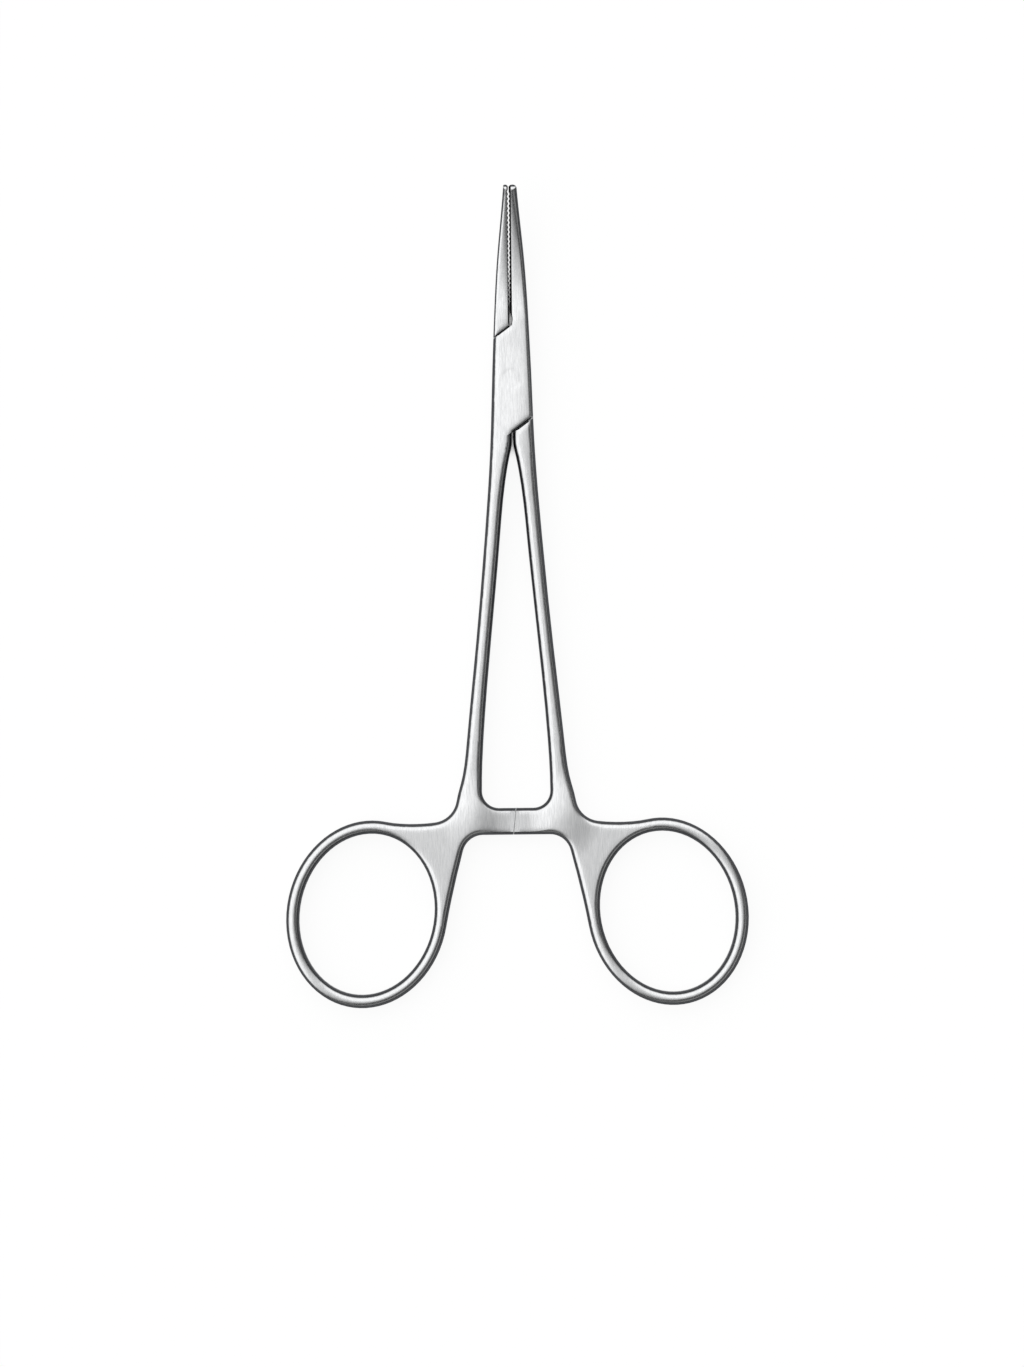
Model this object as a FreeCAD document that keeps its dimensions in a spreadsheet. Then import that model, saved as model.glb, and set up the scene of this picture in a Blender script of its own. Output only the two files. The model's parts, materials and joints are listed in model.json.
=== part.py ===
import FreeCAD, Part
import math
import os
import Sketcher

# Ring-handled forceps with a box lock, lying flat with the jaw tips bent upwards.
# X runs across the rings, Y from the rings to the jaw tips, and Z up through the thickness.
# The origin is on the pivot axis, at the underside of the box lock.
# The box half carries the left ring and the right jaw, the tongue half the right ring and the left jaw.

SIZES = {
    # thickness, measured along Z
    "box_thickness": 3.9,
    "cheek_thickness": 1.15,
    "tongue_clearance": 0.05,
    "handle_thickness": 3.0,
    "tip_thickness": 1.6,
    # box lock, in plan
    "box_half_width": 3.0,
    "box_runout": 2.0,
    "cheek_reach": 6.52,
    "cheek_slant": 36.2,
    "cheek_round": 0.3,
    "upper_cheek_round": 0.1,
    "shoulder_gap_low": 0.2,
    "shoulder_gap_high": 0.12,
    "shoulder_round": 0.2,
    "crotch_gap": 0.2,
    "crotch_run": 1.147,
    "slot_clearance": 0.1,
    "open_angle": 40.0,
    "pin_radius": 1.0,
    "pin_clearance": 0.03,
    # jaws
    "jaw_root": 9.0,
    "jaw_length": 20.3,
    "jaw_root_half_width": 2.62,
    "jaw_mid_half_width": 2.06,
    "tip_half_width": 1.05,
    "tip_shoulder": 0.7,
    "tip_slope": 0.08,
    "jaw_parting": -0.25,
    "jaw_gap_root": 0.06,
    "jaw_gap_tip": 0.12,
    "relief_length": 1.3,
    "relief_deepest": 0.3,
    "relief_depth": 0.35,
    "relief_foot": 0.07,
    "bend_start": 12.0,
    "bend_radius": 37.0,
    "tooth_pitch": 0.7,
    "tooth_depth": 0.16,
    "plain_jaw_root": 1.6,
    # shanks: half spread of the outer edge and width of the shank at even stations
    "station_step": 15.25,
    "spread_a": 3.33,
    "spread_b": 4.41,
    "spread_c": 5.82,
    "spread_d": 7.42,
    "crotch_flare_depth": 1.9,
    "crotch_flare": 0.27,
    "half_way_width": 2.52,
    "shank_width_b": 2.31,
    "shank_width_c": 2.24,
    "shank_width_d": 2.51,
    "shank_width_e": 3.08,
    # yoke between shank, ratchet bar and ring, each measured down from the one before
    "yoke_below_shank": 6.05,
    "yoke_half_spread": 8.29,
    "yoke_radius": 3.85,
    "yoke_arc_out": 12.9,
    "yoke_arc_below": 2.55,
    "bar_below_yoke_arc": 3.75,
    "bar_width": 4.05,
    "bar_inner_radius": 2.6,
    "bar_lower_radius": 3.2,
    "bar_lower_start": 5.1,
    # finger rings
    "ring_offset": 22.92,
    "ring_below_bar": 13.95,
    "ring_hole_length": 24.74,
    "ring_hole_width": 20.46,
    "ring_wire": 2.0,
    "ring_lean": 12.0,
    # ratchet
    "plate_thickness": 1.38,
    "plate_clearance": 0.05,
    "plate_end_lean": 6.0,
    "plate_end_gap": 0.12,
    "seam_offset": -0.25,
    "plate_overlap": 2.65,
    "left_ramp_start": 2.9,
    "left_ramp_end": 6.4,
    "right_ramp_start": 2.0,
    "right_ramp_end": 5.4,
    "ratchet_pitch": 0.8,
    "ratchet_land": 0.15,
    "ratchet_depth": 0.35,
    "ratchet_teeth": 3,
    # rounding of the forged edges
    "handle_round": 0.9,
    "left_jaw_round": 0.45,
    "right_jaw_round": 0.6,
    "face_round": 0.18,
}

LEFT = -1
RIGHT = 1
MARGIN = 3.0
TIP_SPARE = 0.3
SLOT_SPARE = 1.6
RATCHET_SPAN = 12.5

document = FreeCAD.newDocument("forceps")
sheet = document.addObject("Spreadsheet::Sheet", "Sizes")
for row, (alias, value) in enumerate(SIZES.items(), start=1):
    sheet.set("A%d" % row, alias)
    sheet.set("B%d" % row, str(value))
    sheet.setAlias("B%d" % row, alias)
document.recompute()


def size(name):
    """One driving dimension, read from the sheet."""
    return float(getattr(sheet, name))


def point(x, y):
    return FreeCAD.Vector(x, y, 0)


def cheek_line(distance, x):
    """Height, at x, of the slanted joint line at a distance from the pivot, above it or below."""
    return math.tan(SLANT) * x + distance / math.cos(SLANT)


MID = size("box_thickness") / 2
SLANT = math.radians(size("cheek_slant"))
SLOT_THICKNESS = size("box_thickness") - 2 * size("cheek_thickness")
TONGUE_THICKNESS = SLOT_THICKNESS - 2 * size("tongue_clearance")
JAW_REACH = size("jaw_root") + size("jaw_length")
CROTCH_Y = cheek_line(-size("cheek_reach"), -size("crotch_gap") / 2) - size("crotch_run")
SHANK_END_Y = CROTCH_Y - 3 * size("station_step")
YOKE_Y = SHANK_END_Y - size("yoke_below_shank")
YOKE_ARC_Y = YOKE_Y - size("yoke_arc_below")
BAR_Y = YOKE_ARC_Y - size("bar_below_yoke_arc")
BAR_TOP = BAR_Y + size("bar_width") / 2
BAR_BOTTOM = BAR_Y - size("bar_width") / 2
RING_Y = BAR_Y - size("ring_below_bar")
RING_REACH = -RING_Y + size("ring_hole_length") / 2 + size("ring_wire") + MARGIN
HALF_SPAN = size("ring_offset") + size("ring_hole_width") / 2 + size("ring_wire") + MARGIN


# Plan curves. A side of 1 is the right one and -1 the left one.

def spline(points, first, last):
    """Smooth curve through the points, leaving the first and reaching the last in the given ways."""
    curve = Part.BSplineCurve()
    curve.interpolate(Points=points, InitialTangent=first, FinalTangent=last)
    return curve


def line(start, end):
    return Part.LineSegment(start, end)


def arc_through(start, middle, end):
    return Part.Arc(start, middle, end)


def circle_arc(side, x, y, radius, start, middle, end):
    """Arc about (x, y) given by three angles in degrees, mirrored for the left side."""
    spots = []
    for degrees in (start, middle, end):
        angle = math.radians(degrees)
        spots.append(point(side * (x + radius * math.cos(angle)), y + radius * math.sin(angle)))
    return Part.Arc(*spots)


JAW_MID_SHARE = 0.45
YOKE_ARC_START = 190.0
YOKE_ARC_END = 262.0
LOWER_ARC_START = 15.0


def side_curve(side):
    """Outer edge of the whole tool on one side, from the jaw tip to the yoke."""
    step = size("station_step")
    angle = math.radians(YOKE_ARC_START)
    beyond_shoulder = TIP_SPARE + size("tip_shoulder")
    stations = [
        (size("tip_half_width") - size("tip_slope") * beyond_shoulder, JAW_REACH + TIP_SPARE),
        (size("tip_half_width"), JAW_REACH - size("tip_shoulder")),
        (size("jaw_mid_half_width"), size("jaw_root") + JAW_MID_SHARE * size("jaw_length")),
        (size("jaw_root_half_width"), size("jaw_root")),
        (size("box_half_width"), 0.0),
        (size("spread_a"), CROTCH_Y),
        (size("spread_b"), CROTCH_Y - step),
        (size("spread_c"), CROTCH_Y - 2 * step),
        (size("spread_d"), SHANK_END_Y),
        (size("yoke_half_spread"), YOKE_Y),
        (size("yoke_arc_out") + size("yoke_radius") * math.cos(angle),
         YOKE_ARC_Y + size("yoke_radius") * math.sin(angle)),
    ]
    points = [point(side * x, y) for x, y in stations]
    first = point(side * size("tip_slope"), -1)
    last = point(-side * math.sin(angle), math.cos(angle))
    return spline(points, first, last)


def parameter_at(curve, y):
    """Parameter of the spot on a falling curve that lies at height y."""
    low, high = curve.FirstParameter, curve.LastParameter
    for _ in range(60):
        middle = (low + high) / 2
        if curve.value(middle).y > y:
            low = middle
        else:
            high = middle
    return (low + high) / 2


def side_piece(side, upper, lower):
    """The outer edge between two heights; None stands for the end of the curve."""
    curve = side_curve(side)
    start = curve.FirstParameter if upper is None else parameter_at(curve, upper)
    end = curve.LastParameter if lower is None else parameter_at(curve, lower)
    curve.segment(start, end)
    return curve


def side_meets_slant(side, distance):
    """Height at which a slanted joint line meets the outer edge."""
    curve = side_curve(side)
    low, high = curve.FirstParameter, curve.LastParameter
    for _ in range(60):
        middle = (low + high) / 2
        spot = curve.value(middle)
        if spot.y > cheek_line(distance, spot.x):
            low = middle
        else:
            high = middle
    return curve.value(low).y


RING_JOIN = 272.0


def ring_ellipse(side, wall):
    """Outline of the finger ring, a wall's width outside of its hole."""
    lean = math.radians(size("ring_lean"))
    centre = point(side * size("ring_offset"), RING_Y)
    long_half = size("ring_hole_length") / 2 + wall
    short_half = size("ring_hole_width") / 2 + wall
    up = point(-side * math.sin(lean), math.cos(lean))
    across = point(-up.y, up.x)
    return Part.Ellipse(centre + up * long_half, centre + across * short_half, centre)


def ring_outline(side):
    """Outer edge of the ring from the saddle at its top round to the inner side."""
    start, end = (0.0, RING_JOIN) if side == LEFT else (360.0 - RING_JOIN, 360.0)
    return Part.ArcOfEllipse(ring_ellipse(side, size("ring_wire")), math.radians(start), math.radians(end))


def ring_ends(side):
    """Spots and directions at which the yoke joins the ring, at the saddle and at the inner side."""
    arc = ring_outline(side)
    first, last = arc.FirstParameter, arc.LastParameter
    saddle, inner = (first, last) if side == LEFT else (last, first)
    saddle_way = arc.tangent(saddle)[0]
    inner_way = arc.tangent(inner)[0]
    if saddle_way.x * side < 0:
        saddle_way = saddle_way * -1
    if inner_way.y < 0:
        inner_way = inner_way * -1
    return arc.value(saddle), saddle_way, arc.value(inner), inner_way


def seam_x(side, name):
    """X, on the bar's centre line, of one half's wall at the front or the back seam of the ratchet."""
    offset = size("seam_offset") - (size("plate_overlap") if name == "back" else 0.0)
    return offset + side * size("plate_end_gap") / 2


def seam_wall(x, beyond):
    """Upper and lower end of a leaning line across the ratchet bar, a distance beyond its edges."""
    lean = math.tan(math.radians(size("plate_end_lean"))) * (size("bar_width") / 2 + beyond)
    return point(x + lean, BAR_TOP + beyond), point(x - lean, BAR_BOTTOM - beyond)


def handle_outline(side, plate):
    """Yoke, ring and ratchet bar of one half, from the outer edge of the shank to the crotch."""
    saddle, saddle_way, inner, inner_way = ring_ends(side)
    yoke = circle_arc(side, size("yoke_arc_out"), YOKE_ARC_Y, size("yoke_radius"),
                      YOKE_ARC_START, (YOKE_ARC_START + YOKE_ARC_END) / 2, YOKE_ARC_END)
    end_angle = math.radians(YOKE_ARC_END)
    yoke_way = point(-side * math.sin(end_angle), math.cos(end_angle))
    reach = 0.5 * yoke.EndPoint.distanceToPoint(saddle)
    saddle_curve = spline([yoke.EndPoint, saddle], yoke_way * reach, saddle_way * reach)

    lower_radius = size("bar_lower_radius")
    lower_y = BAR_BOTTOM - lower_radius
    lower_arc = circle_arc(side, size("bar_lower_start"), lower_y, lower_radius,
                           LOWER_ARC_START, (LOWER_ARC_START + 90.0) / 2, 90.0)
    start_angle = math.radians(LOWER_ARC_START)
    lower_way = point(-side * math.sin(start_angle), math.cos(start_angle))
    reach = 0.9 * inner.distanceToPoint(lower_arc.StartPoint)
    inner_curve = spline([inner, lower_arc.StartPoint], inner_way * reach, lower_way * reach)

    end_top, end_bottom = seam_wall(seam_x(side, plate), 0.0)
    bottom_edge = line(lower_arc.EndPoint, end_bottom)
    end_face = line(end_bottom, end_top)

    upper_radius = size("bar_inner_radius")
    inner_spread = size("yoke_half_spread") - size("shank_width_e")
    upper_x, upper_y = inner_spread - upper_radius, BAR_TOP + upper_radius
    upper_arc = circle_arc(side, upper_x, upper_y, upper_radius, 270.0, 315.0, 360.0)
    top_edge = line(end_top, upper_arc.StartPoint)

    step = size("station_step")
    crotch = point(side * size("crotch_gap") / 2, CROTCH_Y)
    stations = [upper_arc.EndPoint]
    for number, letter in ((3, "d"), (2, "c"), (1, "b")):
        spread = size("spread_" + letter) - size("shank_width_" + letter)
        stations.append(point(side * spread, CROTCH_Y - number * step))
    half_way = (size("spread_a") + size("spread_b")) / 2 - size("half_way_width")
    stations.append(point(side * half_way, CROTCH_Y - step / 2))
    flare = size("crotch_gap") / 2 + size("crotch_flare")
    stations.append(point(side * flare, CROTCH_Y - size("crotch_flare_depth")))
    stations.append(crotch)
    inner_shank = spline(stations, point(0, 1), point(0, 1))
    return [("handle", yoke), ("handle", saddle_curve), ("handle", ring_outline(side)),
            ("handle", inner_curve), ("handle", lower_arc), ("handle", bottom_edge),
            ("end", end_face), ("handle", top_edge), ("handle", upper_arc),
            ("handle", inner_shank)]


def jaw_face_x(side, y):
    """X of a jaw's gripping face, on the side of the parting line where that jaw lies."""
    share = (y - size("jaw_root")) / size("jaw_length")
    gap = size("jaw_gap_root") + share * (size("jaw_gap_tip") - size("jaw_gap_root"))
    return size("jaw_parting") + side * gap / 2


def jaw_end(side):
    """Square end of a jaw past its tip, before the tip is rounded, from the outer edge to the face."""
    outer = side_curve(side).value(side_curve(side).FirstParameter)
    return line(outer, point(jaw_face_x(side, outer.y), outer.y))


def box_half_outline():
    """Plan of the box half: left handle, cheeks and right jaw."""
    reach = size("cheek_reach")
    left_corner_y = side_meets_slant(LEFT, reach)
    right_corner_y = side_meets_slant(RIGHT, -reach)
    left_shank = side_piece(LEFT, left_corner_y, None)
    right_jaw = side_piece(RIGHT, None, right_corner_y)
    left_corner = left_shank.StartPoint
    right_corner = right_jaw.EndPoint

    crotch = point(-size("crotch_gap") / 2, CROTCH_Y)
    inner_corner = point(crotch.x, cheek_line(-reach, crotch.x))
    end = jaw_end(RIGHT)
    root_x = jaw_face_x(RIGHT, size("jaw_root"))
    relief_y = size("jaw_root") + size("relief_length")
    relief_top = point(jaw_face_x(RIGHT, relief_y), relief_y)
    relief_out = point(root_x + size("relief_depth"), size("jaw_root") + size("relief_deepest"))
    relief_end = point(root_x + size("relief_foot"), cheek_line(reach, root_x + size("relief_foot")))
    outline = [("handle", left_shank)]
    outline += handle_outline(LEFT, "front")
    outline += [("flat", line(crotch, inner_corner)), ("cheek", line(inner_corner, right_corner)),
                ("jaw", right_jaw), ("end", end), ("face", line(end.EndPoint, relief_top)),
                ("face", arc_through(relief_top, relief_out, relief_end)),
                ("cheek", line(relief_end, left_corner))]
    return outline


def tongue_half_outline():
    """Plan of the tongue half: right handle, tongue about the pivot and left jaw."""
    radius = size("box_half_width")
    right_shank = side_piece(RIGHT, 0.0, None)
    left_jaw = side_piece(LEFT, None, 0.0)
    crotch = point(size("crotch_gap") / 2, CROTCH_Y)
    strip_low = point(crotch.x, -math.sqrt(radius ** 2 - crotch.x ** 2))
    end = jaw_end(LEFT)
    root = point(jaw_face_x(LEFT, size("jaw_root")), size("jaw_root"))
    strip_high = point(root.x, math.sqrt(radius ** 2 - root.x ** 2))
    diagonal = radius * math.sqrt(0.5)
    outline = [("handle", right_shank)]
    outline += handle_outline(RIGHT, "back")
    outline += [("flat", line(crotch, strip_low)),
                ("tongue", arc_through(strip_low, point(-diagonal, -diagonal), left_jaw.EndPoint)),
                ("jaw", left_jaw), ("end", end), ("face", line(end.EndPoint, root)),
                ("face", line(root, strip_high)),
                ("tongue", arc_through(strip_high, point(diagonal, diagonal), right_shank.StartPoint))]
    return outline


# Sketches and features of one half.

def plane_of(body, role):
    for feature in body.Origin.OriginFeatures:
        if feature.Role == role:
            return feature
    raise RuntimeError("no plane " + role)


def add_sketch(body, name, role, curves, offset=FreeCAD.Placement()):
    sketch = body.newObject("Sketcher::SketchObject", name)
    sketch.AttachmentSupport = [(plane_of(body, role), "")]
    sketch.MapMode = "FlatFace"
    sketch.AttachmentOffset = offset
    for curve in curves:
        sketch.addGeometry(curve, False)
    return sketch


def lifted(height):
    """Offset of a lying sketch to a height."""
    return FreeCAD.Placement(FreeCAD.Vector(0, 0, height), FreeCAD.Rotation())


def upright(spot, degrees):
    """Offset of an upright sketch to a spot in plan, turned about Z by an angle."""
    turn = FreeCAD.Rotation(FreeCAD.Vector(0, 1, 0), degrees)
    return FreeCAD.Placement(FreeCAD.Vector(spot.x, 0, -spot.y), turn)


def polygon(corners):
    """Closed chain of lines through (x, y) corners."""
    spots = [point(x, y) for x, y in corners]
    return [line(start, end) for start, end in zip(spots, spots[1:] + spots[:1])]


def rectangle(x0, y0, x1, y1):
    return polygon([(x0, y0), (x1, y0), (x1, y1), (x0, y1)])


volumes = {}


def cut_through(body, name, sketch):
    """Pocket both ways through the whole body."""
    pocket = body.newObject("PartDesign::Pocket", name)
    pocket.Profile = sketch
    pocket.SideType = "Symmetric"
    pocket.Type = "ThroughAll"
    finish(body, name)
    return pocket


def cut_one_way(body, name, sketch, upwards):
    """Pocket through all on one side of the sketch."""
    pocket = body.newObject("PartDesign::Pocket", name)
    pocket.Profile = sketch
    pocket.Type = "ThroughAll"
    pocket.Reversed = upwards
    finish(body, name)
    return pocket


def cut_band(body, name, sketch, length):
    """Pocket of a given total length, half to each side of the sketch."""
    pocket = body.newObject("PartDesign::Pocket", name)
    pocket.Profile = sketch
    pocket.SideType = "Symmetric"
    pocket.setExpression("Length", length)
    finish(body, name)
    return pocket


def finish(body, name):
    """Recomputes the body and makes sure that its newest cut took material away."""
    document.recompute()
    volume = body.Shape.Volume
    if volume > volumes[body.Name] - 1e-6:
        raise RuntimeError("%s of %s cut nothing" % (name, body.Label))
    volumes[body.Name] = volume


def jaw_section(height):
    """Centre, direction and half thickness of the bent jaws where their centre line reaches a height."""
    start, radius = size("bend_start"), size("bend_radius")
    run = max(0.0, height - start)
    angle = math.asin(run / radius)
    centre = point(height, MID + radius * (1 - math.cos(angle)))
    box_half, tip_half = size("box_thickness") / 2, size("tip_thickness") / 2
    half = box_half + (tip_half - box_half) * (height - size("jaw_root")) / size("jaw_length")
    return centre, point(math.cos(angle), math.sin(angle)), half


def profile_curves():
    """Side view of the blank in Y and Z: flat handle, thicker box, jaws bent upwards to a round nose."""
    handle_half = size("handle_thickness") / 2
    box_half = size("box_thickness") / 2
    root = size("jaw_root")
    box_start = CROTCH_Y - size("box_runout")
    run = box_start - SHANK_END_Y
    bend = size("bend_start")
    end = JAW_REACH + MARGIN / 2
    heights = [bend + (end - bend) * share for share in (0.0, 0.5, 1.0)]

    curves = []
    ends = []
    for sign in (1, -1):
        handle_z, box_z = MID + sign * handle_half, MID + sign * box_half
        jaw = [point(root, box_z)]
        for height in heights:
            centre, way, half = jaw_section(height)
            jaw.append(centre + point(-way.y, way.x) * (sign * half))
        curves += [line(point(-RING_REACH, handle_z), point(SHANK_END_Y, handle_z)),
                   spline([point(SHANK_END_Y, handle_z), point(box_start, box_z)],
                          point(run, 0), point(run, 0)),
                   line(point(box_start, box_z), point(root, box_z)),
                   spline(jaw, point(1, 0), way)]
        ends.append(jaw[-1])
    curves.append(line(ends[0], ends[1]))
    curves.append(line(point(-RING_REACH, MID - handle_half), point(-RING_REACH, MID + handle_half)))
    return curves


def round_tip(body, side):
    """Rounds the jaw's end in plan."""
    shoulder = size("tip_shoulder")
    curve = side_curve(side)
    outer = curve.value(parameter_at(curve, JAW_REACH - shoulder))
    face = point(jaw_face_x(side, JAW_REACH - shoulder / 2), JAW_REACH - shoulder / 2)
    top = point((outer.x + face.x) / 2, JAW_REACH)
    beyond = JAW_REACH + MARGIN
    outside = outer.x + side * MARGIN
    inside = face.x - side * MARGIN
    curves = [arc_through(outer, top, face), line(face, point(inside, face.y)),
              line(point(inside, face.y), point(inside, beyond)),
              line(point(inside, beyond), point(outside, beyond)),
              line(point(outside, beyond), point(outside, outer.y)),
              line(point(outside, outer.y), outer)]
    cut_through(body, "RoundTip", add_sketch(body, "Tip", "XY_Plane", curves))


def round_nose(body):
    """Rounds the jaw's end in the side view."""
    centre, way, half = jaw_section(JAW_REACH - size("tip_thickness") / 2)
    across = point(-way.y, way.x) * (half * 1.02)
    top, bottom = centre + across, centre - across
    far = way * MARGIN
    out = across * 2
    curves = [arc_through(top, centre + way * half, bottom), line(bottom, bottom - out),
              line(bottom - out, bottom - out + far), line(bottom - out + far, top + out + far),
              line(top + out + far, top + out), line(top + out, top)]
    cut_through(body, "RoundNose", add_sketch(body, "Nose", "YZ_Plane", curves))


def add_blank(body):
    """Blank of the side view, as wide as both rings."""
    sketch = add_sketch(body, "SideView", "YZ_Plane", profile_curves())
    pad = body.newObject("PartDesign::Pad", "Blank")
    pad.Profile = sketch
    pad.SideType = "Symmetric"
    pad.Length = 2 * HALF_SPAN
    document.recompute()
    volumes[body.Name] = body.Shape.Volume


def trim_to_plan(body, outline, side):
    """Trims the blank to its plan outline and opens the ring."""
    frame = rectangle(-HALF_SPAN - 1, -RING_REACH - 1, HALF_SPAN + 1, JAW_REACH + MARGIN)
    curves = frame + [curve for _, curve in outline] + [ring_ellipse(side, 0.0)]
    cut_through(body, "TrimToPlan", add_sketch(body, "PlanView", "XY_Plane", curves))


def round_edges(body, outline, group, radius, name):
    """Rounds the top and bottom edges of the walls that belong to one group of the outline."""
    paths = [(label, curve.toShape()) for label, curve in outline]
    clear = (SLOT_THICKNESS + TONGUE_THICKNESS) / 4
    shape = body.Shape
    chosen = []
    for number, edge in enumerate(shape.Edges, start=1):
        middle = edge.valueAt((edge.FirstParameter + edge.LastParameter) / 2)
        on_tongue = abs(middle.z - MID) < clear and middle.y < size("jaw_root")
        if on_tongue or not lies_between_wall_and_face(shape, edge):
            continue
        spot = Part.Vertex(middle.x, middle.y, 0)
        label, path = min(paths, key=lambda item: item[1].distToShape(spot)[0])
        if label == group and path.distToShape(spot)[0] < 0.01:
            chosen.append("Edge%d" % number)
    base = body.Tip
    fillet = body.newObject("PartDesign::Fillet", name)
    fillet.Base = (base, chosen)
    fillet.setExpression("Radius", "Sizes." + radius)
    finish(body, name)


def lies_between_wall_and_face(shape, edge):
    """True for an edge between an upright wall and a lying face."""
    uprights, lying = 0, 0
    middle = edge.valueAt((edge.FirstParameter + edge.LastParameter) / 2)
    for face in shape.ancestorsOfType(edge, Part.Face):
        u, v = face.Surface.parameter(middle)
        slope = abs(face.normalAt(u, v).z)
        if slope < 0.05:
            uprights += 1
        elif slope > 0.6:
            lying += 1
    return uprights == 1 and lying == 1


def thin_plate(body, side, name, ramp_start, ramp_end):
    """Lowers the front and the back of the ratchet bar a little below the faces of the shank."""
    far = HALF_SPAN / 2
    curves = []
    for sign in (1, -1):
        handle_z = MID + sign * size("handle_thickness") / 2
        plate_z = MID + sign * size("plate_thickness")
        outside_z = MID + sign * MARGIN
        ramp_top, ramp_foot = point(side * ramp_end, handle_z), point(side * ramp_start, plate_z)
        far_foot, far_top = point(-side * far, plate_z), point(-side * far, outside_z)
        near_top = point(side * ramp_end, outside_z)
        run = point(ramp_foot.x - ramp_top.x, 0)
        curves += [spline([ramp_top, ramp_foot], run, run), line(ramp_foot, far_foot),
                   line(far_foot, far_top), line(far_top, near_top), line(near_top, ramp_top)]
    sketch = add_sketch(body, name + "Faces", "XZ_Plane", curves, upright(point(0, BAR_Y), 0))
    cut_band(body, name + "Lowering", sketch, "%g" % RATCHET_SPAN)


def clear_for_other_plate(body, side, seam):
    """Clears one side of the bar's middle plane, past a leaning wall, for the other half's plate."""
    top, bottom = seam_wall(seam_x(side, seam), MARGIN)
    far = -side * HALF_SPAN / 2
    curves = polygon([(top.x, top.y), (far, top.y), (far, bottom.y), (bottom.x, bottom.y)])
    face = lifted(MID - side * size("plate_clearance"))
    cut_one_way(body, "LapPlate", add_sketch(body, "PlateLap", "XY_Plane", curves, face), side == RIGHT)


def cut_ratchet_teeth(body, side, end_x):
    """Saw teeth on the mating face of a plate, upright against opening and sloping against closing."""
    face = MID - side * size("plate_clearance")
    upright_x = end_x + side * size("ratchet_land")
    slope_x = upright_x + side * (size("ratchet_pitch") - size("ratchet_land"))
    deep, clear = face - side * size("ratchet_depth"), face + side * size("ratchet_depth")
    corners = [(slope_x, face), (upright_x, deep), (upright_x, clear), (slope_x, clear)]
    sketch = add_sketch(body, "ToothGap", "XZ_Plane", polygon(corners),
                        upright(point(0, BAR_Y), -size("plate_end_lean")))
    pocket = cut_band(body, "CutToothGap", sketch, "Sizes.bar_width * 1.5")
    repeat(body, "RatchetTeeth", pocket, (sketch, "H_Axis"), side == LEFT, "Sizes.ratchet_pitch",
           "Sizes.ratchet_teeth")


def repeat(body, name, feature, direction, backwards, spacing, count):
    pattern = body.newObject("PartDesign::LinearPattern", name)
    pattern.Originals = [feature]
    pattern.Direction = (direction[0], [direction[1]])
    pattern.Reversed = backwards
    pattern.setExpression("Occurrences", count)
    pattern.setExpression("Length", "%s * (%s - 1)" % (spacing, count))
    body.Tip = pattern
    finish(body, name)


def cut_jaw_teeth(body, side):
    """Cross grooves on the gripping face, half a pitch apart on the two jaws."""
    pitch, depth = size("tooth_pitch"), size("tooth_depth")
    start = JAW_REACH - size("tip_shoulder") - pitch * (0.5 if side == LEFT else 1.0)
    length = start - size("jaw_root") - size("plain_jaw_root")
    count = int(length / pitch)

    def face(y):
        return jaw_face_x(side, y)

    apex = point(face(start) + side * depth, start)
    upper = point(face(start + pitch / 2), start + pitch / 2)
    lower = point(face(start - pitch / 2), start - pitch / 2)
    away_lower = lower - point(side * depth, 0)
    away_upper = upper - point(side * depth, 0)
    curves = [line(upper, apex), line(apex, lower), line(lower, away_lower),
              line(away_lower, away_upper), line(away_upper, upper)]
    run = point(face(start - length) - face(start), -length)
    guide = line(upper, upper + run)
    sketch = add_sketch(body, "Groove", "XY_Plane", curves)
    sketch.addGeometry(guide, True)
    pocket = cut_through(body, "CutGroove", sketch)
    repeat(body, "JawTeeth", pocket, (sketch, "Axis0"), False, "Sizes.tooth_pitch", "%d" % count)


def cut_slot(body):
    """Slot through the cheeks in which the tongue turns, open to both sides and stopped at full opening."""
    radius = size("box_half_width") + size("slot_clearance")
    angle = math.radians(size("open_angle"))
    low_x = -size("crotch_gap") / 2
    high_x = jaw_face_x(RIGHT, size("jaw_root")) + size("slot_clearance")
    far_x, far_y = 2 * size("box_half_width"), size("cheek_reach") / math.cos(SLANT) + SLOT_SPARE
    low = point(low_x, -math.sqrt(radius ** 2 - low_x ** 2))
    high = point(high_x, math.sqrt(radius ** 2 - high_x ** 2))
    right_touch = point(radius * math.cos(angle), radius * math.sin(angle))
    left_touch = right_touch * -1
    stop_way = point(math.sin(angle), -math.cos(angle))
    right_end = right_touch + stop_way * ((far_x - right_touch.x) / stop_way.x)
    left_end = right_end * -1
    half_high = math.radians(90 + size("open_angle")) / 2
    upper_middle = point(radius * math.cos(half_high), radius * math.sin(half_high))
    curves = [line(low, point(low_x, -far_y)), line(point(low_x, -far_y), point(far_x, -far_y)),
              line(point(far_x, -far_y), right_end), line(right_end, right_touch),
              arc_through(right_touch, upper_middle, high), line(high, point(high_x, far_y)),
              line(point(high_x, far_y), point(-far_x, far_y)), line(point(-far_x, far_y), left_end),
              line(left_end, left_touch), arc_through(left_touch, upper_middle * -1, low)]
    sketch = add_sketch(body, "SlotPlan", "XY_Plane", curves, lifted(MID))
    cut_band(body, "Slot", sketch, "Sizes.box_thickness - 2 * Sizes.cheek_thickness")


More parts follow.
